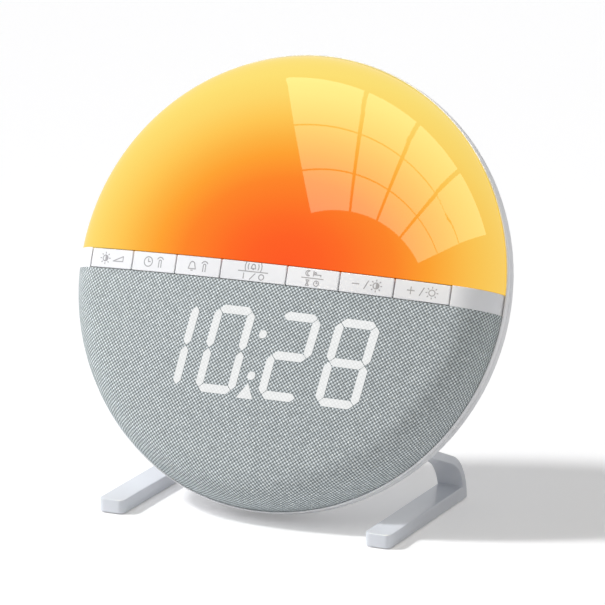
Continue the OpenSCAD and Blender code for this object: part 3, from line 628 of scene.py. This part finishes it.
def inkMesh(name, strokes, centre):
    # Strokes as thin ribbons laid on the dome, round a place along the strip
    vertices = []
    for stroke in strokes:
        points = []
        for start, end in zip(stroke, stroke[1:]):
            steps = max(1, round(math.dist(start, end) / legends["step"]))
            points += [Vector(start).lerp(Vector(end), k / steps) for k in range(steps)]
        points = [point + Vector((centre, 0)) for point in (*points, Vector(stroke[-1]))]
        for start, end in zip(points, points[1:]):
            along = (end - start).normalized() * legends["width"] / 2
            across = Vector((-along.y, along.x))
            past = along * legends["overlap"]
            lift = legends["lift"] + legends["stagger"] * (len(vertices) % 7)
            for corner in (start - past - across, end + past - across,
                           end + past + across, start - past + across):
                vertices.append((corner.x, corner.y, domeHeight(corner.length) + lift))
    faces = [tuple(range(k, k + 4)) for k in range(0, len(vertices), 4)]
    return newMesh(name, vertices, faces)


keyInk = moulded("keyInk", srgb(*legends["colour"]), 0.5, vary=0.1)
for key, left, right in zip(strip["keys"], joins, joins[1:]):
    ink = inkMesh("legend_" + key, signs[key], (left + right) / 2)
    newPiece(ink, keyInk, None, "key_" + key)

# Rim: outer wall, rounded lip and the inner wall that goes down to a ledge under the dome
rim = {
    "radius": 86,
    "gap": 0.38,             # between the dome and the lip
    "lipHeight": 0.6,
    "lipSteps": 8,
    "seamDepth": 2.5,        # where the wall meets the back shell
    "seamEdge": ((0.35, 0), (0.1, 0.05), (0, 0.25)),
    "ledgeDepth": 1.2,
    "ledge": (6, 0.05),      # how far it goes in, and how far it drops there
    "steps": 256,
}


def rimProfile():
    # (radius, height) points from the seam up over the lip and down to the ledge
    points = [(rim["radius"] - inward, up - rim["seamDepth"]) for inward, up in rim["seamEdge"]]
    lipIn = face["radius"] + rim["gap"]
    lipRound = (rim["radius"] - lipIn) / 2
    for k in range(rim["lipSteps"] + 1):
        a = math.pi * k / rim["lipSteps"]
        points.append((lipIn + lipRound * (1 + math.cos(a)),
                       rim["lipHeight"] - lipRound * (1 - math.sin(a))))
    inward, down = rim["ledge"]
    return points + [(lipIn, -rim["ledgeDepth"]), (lipIn - inward, -rim["ledgeDepth"] - down)]


def rimMesh():
    profile, steps = rimProfile(), rim["steps"]
    turns = [2 * math.pi * i / steps for i in range(steps)]
    vertices = [(r * math.cos(a), r * math.sin(a), z) for a in turns for r, z in profile]
    rows = len(profile)
    faces = [tuple(k % len(vertices) for k in corners) for corners in gridFaces(steps + 1, rows)]
    return newMesh("rim", vertices, faces)


newPiece(rimMesh(), whiteFrame, "front_frame", "housing")
print("strip, keys and rim made")

# Feet: a bar on the table, a bend at the heel and an arm into the back shell, square to the face
foot = {
    "sides": {"left": -53.9, "right": 53.9},
    "width": 10.6,
    "bar": 5.2,
    "arm": 3.2,
    "toeReach": 43.5,
    "heelReach": 29.8,
    "heelRadius": 21,
    "bendSteps": 24,
    "toeCorner": 2.6,
    "toeSteps": 10,
    "padLift": 0.4,
    "edge": 0.55,
    "armEnd": -7.5,          # out of the face, in its own frame
}


def footOutline():
    # Side view as (y, z) points round the foot, from the toe along the table
    heel = Vector((foot["heelReach"] - foot["heelRadius"], 0))
    outer, inner = foot["heelRadius"], foot["heelRadius"] - foot["arm"]
    turn = math.pi / 2 - tilt
    along = Vector((-math.sin(turn), math.cos(turn)))
    across = Vector((math.cos(turn), math.sin(turn)))
    armLength = foot["armEnd"] + (face["height"] - foot["padLift"]) * math.sin(tilt)
    armLength += heel.x * math.cos(tilt)

    def bend(radius, start, end):
        angles = [start + (end - start) * k / foot["bendSteps"]
                  for k in range(foot["bendSteps"] + 1)]
        return [heel + radius * Vector((math.cos(a), math.sin(a))) for a in angles]

    barTop = math.asin(foot["bar"] / inner)
    return [
        Vector((-foot["toeReach"], 0)),
        *bend(outer, 0, turn),
        heel + across * outer + along * armLength,
        heel + across * inner + along * armLength,
        *bend(inner, turn, barTop),
        Vector((-foot["toeReach"], foot["bar"])),
    ]


def footMesh(name, centre):
    built = bmesh.new()
    side = [built.verts.new((centre - foot["width"] / 2, p.x, p.y)) for p in footOutline()]
    swept = bmesh.ops.extrude_face_region(built, geom=[built.faces.new(side)])
    moved = [v for v in swept["geom"] if isinstance(v, bmesh.types.BMVert)]
    bmesh.ops.translate(built, verts=moved, vec=(foot["width"], 0, 0))
    bmesh.ops.recalc_face_normals(built, faces=built.faces)
    # the two upright edges at the toe are rounded
    toe = [e for e in built.edges
           if all(abs(v.co.y + foot["toeReach"]) < samePoint for v in e.verts)
           and abs(e.verts[0].co.z - e.verts[1].co.z) > foot["bar"] / 2]
    bmesh.ops.bevel(built, geom=toe, offset=foot["toeCorner"], segments=foot["toeSteps"],
                    profile=0.5, affect="EDGES")
    mesh = bpy.data.meshes.new(name)
    built.to_mesh(mesh)
    built.free()
    return mesh


footMatrix = (
    Matrix.Translation(Vector((0, face["forward"], foot["padLift"])) * mm) @ Matrix.Scale(mm, 4)
)
for side, centre in foot["sides"].items():
    mesh = footMesh(side + "Foot", centre)
    bevelled(newPiece(mesh, paintedFoot, side + "_foot", "housing", footMatrix), foot["edge"], 4)
print("feet made")

# Digits: strokes of light that show through the fabric
digits = {
    "time": "1028",
    "centres": (-34.6, -11.6, 14.2, 36.5),
    "drop": 29.4,            # of their middle under the face's
    "height": 32.6,
    "width": 13.4,
    "stroke": 3.1,
    "slant": 0.185,          # how far the top leans over for each millimetre up
    "gap": 0.3,              # at each end of a stroke
    "rowPlaces": (-1, -0.5, 0, 0.5, 1),      # across a stroke, in half widths
    "tipPower": 0.75,        # how blunt a stroke's tips are
    "tipWidth": 0.1,         # share of the width that is left at the very tip
    "tipSteps": 5,
    "middleSteps": 8,
    "lift": 0.1,             # over the fabric
    "colon": 1.7,            # place of the two dots and the marker under them
    "dots": (0.215, -0.26),  # shares of the digits' height
    "dotSteps": 12,
    "dotEnd": 0.02,          # half width that is left at a dot's ends
    "marker": (-0.5, -17, -11.2),    # its middle, its foot and its apex
    "markerWidth": 6.6,
    "markerSteps": 8,
    "markerEnd": 0.97,       # share of the way to the apex at which it ends
    "strength": 0.86,
    "colour": (250, 252, 252),
    "cloth": 0.12,           # brightness of the lit cloth itself
    "shade": 0.18,           # share of the light that the weave's gaps take
    "gapEnd": 0.6,           # nearness to a crossing at which a gap ends
    "fleck": 0.06,
    "roughness": 0.9,
    "specular": 0.1,
}
segmentsOf = {
    "0": "abcdef", "1": "bc", "2": "abged", "3": "abgcd", "4": "fgbc",
    "5": "afgcd", "6": "afgedc", "7": "abc", "8": "abcdefg", "9": "abfgcd",
}
halfWide = digits["width"] / 2
halfHigh = (digits["height"] - digits["stroke"]) / 2
segmentEnds = {
    "a": ((-halfWide, halfHigh), (halfWide, halfHigh)),
    "b": ((halfWide, 0), (halfWide, halfHigh)),
    "c": ((halfWide, -halfHigh), (halfWide, 0)),
    "d": ((-halfWide, -halfHigh), (halfWide, -halfHigh)),
    "e": ((-halfWide, -halfHigh), (-halfWide, 0)),
    "f": ((-halfWide, 0), (-halfWide, halfHigh)),
    "g": ((-halfWide, 0), (halfWide, 0)),
}


def digitValues(start):
    crossing, _, fleck = weaveParts(start)
    level = crossing.ramp(0, digits["gapEnd"]).upTo(digits["shade"]) * fleck.upTo(digits["fleck"])
    return {
        "Base Color": (digits["cloth"],) * 3 + (1,),
        "Roughness": digits["roughness"],
        "Specular IOR Level": digits["specular"],
        "Emission Color": level.mix((0, 0, 0), srgb(*digits["colour"])),
        "Emission Strength": digits["strength"],
    }


def band(start, end, profile, centre):
    # Rows of points across a straight band. profile has each row's place along it and half width.
    start, end = Vector(start), Vector(end)
    along = (end - start).normalized()
    across = Vector((-along.y, along.x))
    rows = []
    for place, half in profile:
        row = [start + along * place + across * half * k for k in digits["rowPlaces"]]
        rows.append([(centre + p.x + digits["slant"] * p.y, p.y - digits["drop"]) for p in row])
    return rows


def stroke(start, end, centre):
    half = digits["stroke"] / 2
    length = math.dist(start, end) - 2 * digits["gap"]
    steps = digits["middleSteps"]
    tip = [half * k / digits["tipSteps"] for k in range(digits["tipSteps"] + 1)]
    middle = [half + (length - 2 * half) * k / steps for k in range(1, steps)]
    profile = []
    for place in (*tip, *middle, *(length - place for place in reversed(tip))):
        fromTip = min(place, length - place, half) / half
        wide = half * max(digits["tipWidth"], fromTip ** digits["tipPower"])
        profile.append((digits["gap"] + place, wide))
    return band(start, end, profile, centre)


def dot(y, centre):
    radius, steps = digits["stroke"] / 2, digits["dotSteps"]
    profile = []
    for a in (math.pi * k / steps for k in range(steps + 1)):
        profile.append((radius * (1 - math.cos(a)), max(digits["dotEnd"], radius * math.sin(a))))
    return band((0, y - radius), (0, y + radius), profile, centre)


def marker(centre):
    (x, low, high), steps = digits["marker"], digits["markerSteps"]
    shares = [min(digits["markerEnd"], k / steps) for k in range(steps + 1)]
    profile = [((high - low) * t, digits["markerWidth"] / 2 * (1 - t)) for t in shares]
    return band((x, low), (x, high), profile, centre)


def glowMesh(name, bands):
    # Bands laid on the fabric
    vertices, faces, layout = [], [], []
    for rows in bands:
        faces += gridFaces(len(rows), len(rows[0]), len(vertices))
        for x, y in (spot for row in rows for spot in row):
            r = math.hypot(x, y)
            vertices.append((x, y, domeHeight(r) + digits["lift"]))
            layout.append((x * unrolled(r) / r, y * unrolled(r) / r))
    return newMesh(name, vertices, faces, layout)


bands = [
    stroke(*segmentEnds[letter], centre)
    for figure, centre in zip(digits["time"], digits["centres"])
    for letter in segmentsOf[figure]
]
bands += [dot(digits["height"] * share, digits["colon"]) for share in digits["dots"]]
bands.append(marker(digits["colon"]))
newPiece(glowMesh("litDigits", bands), newMaterial("digitGlow", digitValues), None, "housing")
print("digits made")

# Studio: a white floor and world, a sun, a key light and a camera, in metres
studio = {
    "floor": (246, 246, 247),
    "floorPatches": 3,       # faint patches in a metre
    "floorVary": 0.005,      # and how much darker they are
    "floorReach": 6,
    "floorLift": 0.2,        # what the floor adds for the camera and for reflections
    "floorRoughness": 0.85,
    "floorSpecular": 0.1,
    "world": 0.36,           # share of the white world that falls on things
    "sun": 2.07,
    "sunFrom": (-0.9, -0.4, 1.15),
    "sunAngle": 8,
    "key": 0.4,
    "keyPlace": (-0.36, -0.24, 0.3),
    "keySize": 0.15,
    "lightsAim": (0, 0, 0.08),
    "distance": 1.877,
    "azimuth": 24.17,
    "elevation": 14.28,
    "focal": 301.03,
    "sensor": 36,
    "clip": (0.1, 30),       # nearest and farthest that the camera sees
    "aim": (0, -0.00071, 0.08428),
    "shift": (0.0045, -0.00735),     # of the aim in the picture, to the right and up
}


def backTowards(azimuth, elevation):
    # Direction from the clock to the camera
    azimuth, elevation = math.radians(azimuth), math.radians(elevation)
    return Vector((math.sin(azimuth) * math.cos(elevation),
                   -math.cos(azimuth) * math.cos(elevation), math.sin(elevation)))


def placed(name, data, place, target):
    # An object of that data that looks from its place to the target
    made = bpy.data.objects.new(name, data)
    made.location = place
    made.rotation_mode = "QUATERNION"
    made.rotation_quaternion = (Vector(place) - Vector(target)).to_track_quat("Z", "Y")
    bpy.context.scene.collection.objects.link(made)
    return made


back = backTowards(studio["azimuth"], studio["elevation"])
right = Vector((0, 0, 1)).cross(back).normalized()
aim = Vector(studio["aim"]) + right * studio["shift"][0] + back.cross(right) * studio["shift"][1]
camera = placed("camera", bpy.data.cameras.new("camera"), aim + back * studio["distance"], aim)
camera.data.sensor_width, camera.data.lens = studio["sensor"], studio["focal"]
camera.data.clip_start, camera.data.clip_end = studio["clip"]
bpy.context.scene.camera = camera
bpy.context.scene.view_settings.view_transform = "Standard"


def stageObject(mesh, material):
    made = bpy.data.objects.new(mesh.name, mesh)
    bpy.context.scene.collection.objects.link(made)
    mesh.materials.append(material)
    return made


def shownShare(start):
    # 1 for the camera and for what reflects or shines through, 0 for light that falls on things
    seen, mirrored, through = (
        start.node("LightPath", None, None, f"Is {ray} Ray")
        for ray in ("Camera", "Glossy", "Transmission")
    )
    return seen.maths("MAXIMUM", mirrored).maths("MAXIMUM", through)


def floorValues(start):
    cloud = objectPlace(start).noise(studio["floorPatches"])
    colour = srgb(*studio["floor"])
    darker = [c * (1 - studio["floorVary"]) for c in colour]
    return {
        "Base Color": cloud.ramp(*moulding["shadeRange"]).mix(darker, colour),
        "Roughness": studio["floorRoughness"],
        "Specular IOR Level": studio["floorSpecular"],
        "Emission Color": (1, 1, 1, 1),
        "Emission Strength": shownShare(start) * studio["floorLift"],
    }


reach = studio["floorReach"]
floorCorners = [(-reach, -reach, 0), (reach, -reach, 0), (reach, reach, 0), (-reach, reach, 0)]
stageObject(newMesh("floor", floorCorners, [(0, 1, 2, 3)]), newMaterial("floorFinish", floorValues))

# A window of panes that only the glossy surfaces show. It is laid out as the dome shows it to
# the camera, in the face's frame, and each corner goes where the dome mirrors the camera to.
window = {
    "far": ((3.4, -5.6), 80.7),      # centre and radius of the arc that ends the panes
    "near": ((27.4, -10.6), 36.5),   # and of the one that they start from
    "bars": (98, 74, 57, 40, 21),    # degrees of the upright bars at the far arc
    "turn": 13,                      # degrees more where they meet the near arc
    "rails": (0, 0.36, 0.69, 1),     # places of the rails between the far arc and the near one
    "barWidth": 1.4,                 # degrees
    "railWidth": 0.012,
    "steps": 8,                      # faces across a pane
    "height": 1.1,                   # metres over the table
    "colour": (1, 0.86, 0.62),
    "strength": 10,
}


def windowSpot(angle, share):
    # Place on the dome, in the face's frame, between the far arc and the near one
    ends = []
    for (centre, radius), turn in ((window["far"], 0), (window["near"], window["turn"])):
        turned = math.radians(angle + turn)
        ends.append(Vector(centre) + radius * Vector((math.cos(turned), math.sin(turned))))
    return ends[0].lerp(ends[1], share)


def mirroredSpot(spot):
    # Where a ray from the camera goes, at the window's height, after that place on the dome
    slope = domeSlope(spot.length)
    out = spot.normalized() * math.sin(slope)
    normal = (faceMatrix.to_3x3() @ Vector((*out, math.cos(slope)))).normalized()
    point = faceMatrix @ Vector((*spot, domeHeight(spot.length)))
    ray = (point - camera.location).reflect(normal)
    return point + ray * (window["height"] - point.z) / ray.z


def windowMesh():
    vertices, faces = [], []
    bars, rails, steps = window["bars"], window["rails"], window["steps"]
    edge, thin = window["barWidth"] / 2, window["railWidth"] / 2
    for bar, nextBar in zip(bars, bars[1:]):
        for rail, nextRail in zip(rails, rails[1:]):
            faces += gridFaces(steps + 1, steps + 1, len(vertices))
            for i in range(steps + 1):
                angle = bar - edge + (nextBar - bar + 2 * edge) * i / steps
                for j in range(steps + 1):
                    share = rail + thin + (nextRail - rail - 2 * thin) * j / steps
                    vertices.append(mirroredSpot(windowSpot(angle, share)))
    return newMesh("window", vertices, faces)


def windowValues(start):
    return {
        "Base Color": (0, 0, 0, 1),
        "Emission Color": (*window["colour"], 1),
        "Emission Strength": window["strength"],
    }


panes = stageObject(windowMesh(), newMaterial("windowLight", windowValues))
panes.visible_camera = panes.visible_diffuse = panes.visible_shadow = False

world = bpy.data.worlds.new("studio")
bpy.context.scene.world = world
world.use_nodes = True
world.node_tree.nodes.clear()
sky = Wire(world.node_tree)
level = shownShare(sky).upTo(1 - studio["world"])
background = sky.node("Background", None, {"Color": (1, 1, 1, 1), "Strength": level})
sky.node("OutputWorld", None, {"Surface": background})


def newLight(name, kind, place, power):
    light = bpy.data.lights.new(name, kind)
    light.energy = power
    placed(name, light, place, studio["lightsAim"]).visible_glossy = False
    return light


newLight("sun", "SUN", studio["sunFrom"], studio["sun"]).angle = math.radians(studio["sunAngle"])
newLight("keyLight", "AREA", studio["keyPlace"], studio["key"]).size = studio["keySize"]
print("studio made")
